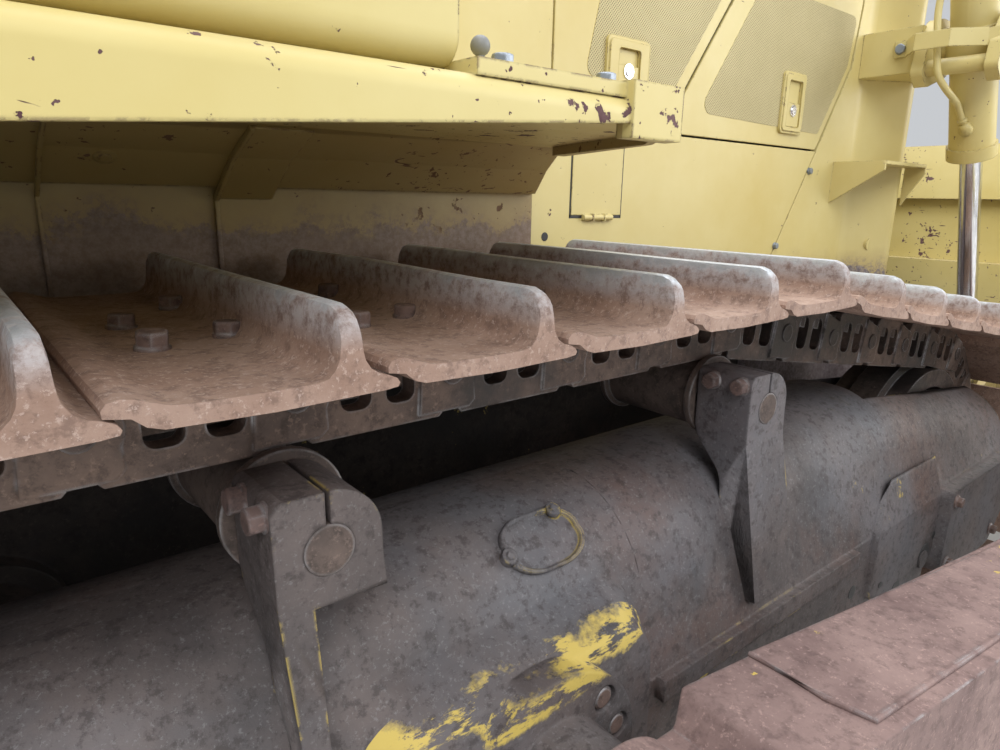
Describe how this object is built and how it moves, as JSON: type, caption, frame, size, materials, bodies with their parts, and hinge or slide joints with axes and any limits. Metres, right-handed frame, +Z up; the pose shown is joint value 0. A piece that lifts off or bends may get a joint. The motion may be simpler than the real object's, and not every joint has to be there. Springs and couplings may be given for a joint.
{
  "type": "bulldozer",
  "caption": "Crawler bulldozer with a semi-U blade on push arms, single grouser tracks, roller frames, hydraulic lift cylinders, hinged engine doors and an enclosed cab.",
  "frame": {"origin": "middle of the bounding box at ground level", "axes": "+X forward to the blade, +Y to the machine's left, +Z up"},
  "size_m": [6.6, 3.9574, 3.42],
  "materials": {
    "yellow_paint": "satin",
    "worn_paint": "matte",
    "track_steel": "worn",
    "roller_steel": "worn",
    "rod_chrome": "polished",
    "dark_paint": "satin",
    "window_glass": "clear",
    "seat_cover": "matte",
    "black_plastic": "matte"
  },
  "bodies": {
    "machine": {"air_cleaner": "black_plastic", "battery_box": "yellow_paint", "cab_glass": "window_glass", "cab_roof": "yellow_paint", "cab_shell": "yellow_paint", "consoles": "black_plastic", "drawbar": "worn_paint", "engine_block": "dark_paint", "equalizer_bar": "worn_paint", "exhaust_stack": "dark_paint", "fender_left": "yellow_paint", "fender_right": "yellow_paint", "front_grille": "dark_paint", "fuel_tank": "yellow_paint", "hood": "yellow_paint", "hydraulic_tank": "yellow_paint", "idler_left": "roller_steel", "idler_right": "roller_steel", "main_frame": "worn_paint", "operator_seat": "seat_cover", "radiator": "dark_paint", "radiator_guard": "yellow_paint", "rollover_bar": "yellow_paint", "sprocket_left": "track_steel", "sprocket_right": "track_steel", "track_frame_left": "yellow_paint", "track_frame_right": "yellow_paint", "track_left": "track_steel", "track_right": "track_steel", "track_rollers_left": "roller_steel", "track_rollers_right": "roller_steel"},
    "push_frame": {"push_arm_right": "worn_paint", "push_arm_left": "worn_paint", "cross_arms": "worn_paint"},
    "blade": {"blade": "yellow_paint", "blade_lugs": "yellow_paint", "cutting_edge": "track_steel"},
    "lift_barrel_right": {"lift_barrel_right": "yellow_paint"},
    "lift_rod_right": {"lift_rod_right": "rod_chrome"},
    "pitch_barrel_right": {"pitch_barrel_right": "yellow_paint"},
    "pitch_rod_right": {"pitch_rod_right": "rod_chrome"},
    "engine_door_rear_right": {"engine_door_rear_right": "yellow_paint"},
    "engine_door_front_right": {"engine_door_front_right": "yellow_paint"},
    "cab_door_right": {"cab_door_right": "yellow_paint", "door_glass_right": "window_glass"},
    "lift_barrel_left": {"lift_barrel_left": "yellow_paint"},
    "lift_rod_left": {"lift_rod_left": "rod_chrome"},
    "pitch_barrel_left": {"pitch_barrel_left": "yellow_paint"},
    "pitch_rod_left": {"pitch_rod_left": "rod_chrome"},
    "engine_door_rear_left": {"engine_door_rear_left": "yellow_paint"},
    "engine_door_front_left": {"engine_door_front_left": "yellow_paint"},
    "cab_door_left": {"cab_door_left": "yellow_paint", "door_glass_left": "window_glass"}
  },
  "joints": [
    {"name": "blade_lift", "type": "hinge", "parent": "machine", "child": "push_frame", "pos_m": [-0.3, 0, 0.65], "axis": [0, 1, 0], "range_deg": [-18, 7]},
    {"name": "blade_pitch", "type": "hinge", "parent": "push_frame", "child": "blade", "pos_m": [2.64, 0, 0.404], "axis": [0, 1, 0], "range_deg": [-5, 5]},
    {"name": "lift_barrel_right_swing", "type": "hinge", "parent": "machine", "child": "lift_barrel_right", "pos_m": [2.03, -0.95, 1.96], "axis": [0, 1, 0], "range_deg": [-17.77, 6.94]},
    {"name": "lift_rod_right_slide", "type": "slide", "parent": "lift_barrel_right", "child": "lift_rod_right", "axis": [0.3991, 0, -0.9169], "range_m": [-0.83641, 0.32649]},
    {"name": "pitch_barrel_right_swing", "type": "hinge", "parent": "push_frame", "child": "pitch_barrel_right", "pos_m": [1.3, -1.6712, 0.79], "axis": [0, 1, 0], "range_deg": [-0.98, 0.98]},
    {"name": "pitch_rod_right_slide", "type": "slide", "parent": "pitch_barrel_right", "child": "pitch_rod_right", "axis": [0.9508, 0, 0.3099], "range_m": [-0.07026, 0.07026]},
    {"name": "lift_barrel_left_swing", "type": "hinge", "parent": "machine", "child": "lift_barrel_left", "pos_m": [2.03, 0.95, 1.96], "axis": [0, 1, 0], "range_deg": [-17.77, 6.94]},
    {"name": "lift_rod_left_slide", "type": "slide", "parent": "lift_barrel_left", "child": "lift_rod_left", "axis": [0.3991, 0, -0.9169], "range_m": [-0.83641, 0.32649]},
    {"name": "pitch_barrel_left_swing", "type": "hinge", "parent": "push_frame", "child": "pitch_barrel_left", "pos_m": [1.3, 1.6712, 0.79], "axis": [0, 1, 0], "range_deg": [-0.98, 0.98]},
    {"name": "pitch_rod_left_slide", "type": "slide", "parent": "pitch_barrel_left", "child": "pitch_rod_left", "axis": [0.9508, 0, 0.3099], "range_m": [-0.07026, 0.07026]},
    {"name": "engine_door_rear_right_hinge", "type": "hinge", "parent": "machine", "child": "engine_door_rear_right", "pos_m": [1, -0.636, 2.183], "axis": [-1, 0, 0], "range_deg": [0, 70]},
    {"name": "engine_door_front_right_hinge", "type": "hinge", "parent": "machine", "child": "engine_door_front_right", "pos_m": [1, -0.636, 2.183], "axis": [-1, 0, 0], "range_deg": [0, 70]},
    {"name": "engine_door_rear_left_hinge", "type": "hinge", "parent": "machine", "child": "engine_door_rear_left", "pos_m": [1, 0.636, 2.183], "axis": [1, 0, 0], "range_deg": [0, 70]},
    {"name": "engine_door_front_left_hinge", "type": "hinge", "parent": "machine", "child": "engine_door_front_left", "pos_m": [1, 0.636, 2.183], "axis": [1, 0, 0], "range_deg": [0, 70]},
    {"name": "cab_door_right_hinge", "type": "hinge", "parent": "machine", "child": "cab_door_right", "pos_m": [-1.6375, -0.799, 2.46], "axis": [0, 0, -1], "range_deg": [0, 95]},
    {"name": "cab_door_left_hinge", "type": "hinge", "parent": "machine", "child": "cab_door_left", "pos_m": [-1.6375, 0.799, 2.46], "axis": [0, 0, 1], "range_deg": [0, 95]}
  ],
  "couplings": [
    {"joint": "lift_barrel_right_swing", "follows": "blade_lift", "ratio": 0.9845},
    {"joint": "lift_rod_right_slide", "follows": "blade_lift", "m_per_rad": 2.656},
    {"joint": "pitch_barrel_right_swing", "follows": "blade_pitch", "ratio": 0.187},
    {"joint": "pitch_rod_right_slide", "follows": "blade_pitch", "m_per_rad": 0.7822},
    {"joint": "lift_barrel_left_swing", "follows": "blade_lift", "ratio": 0.9845},
    {"joint": "lift_rod_left_slide", "follows": "blade_lift", "m_per_rad": 2.656},
    {"joint": "pitch_barrel_left_swing", "follows": "blade_pitch", "ratio": 0.187},
    {"joint": "pitch_rod_left_slide", "follows": "blade_pitch", "m_per_rad": 0.7822}
  ]
}
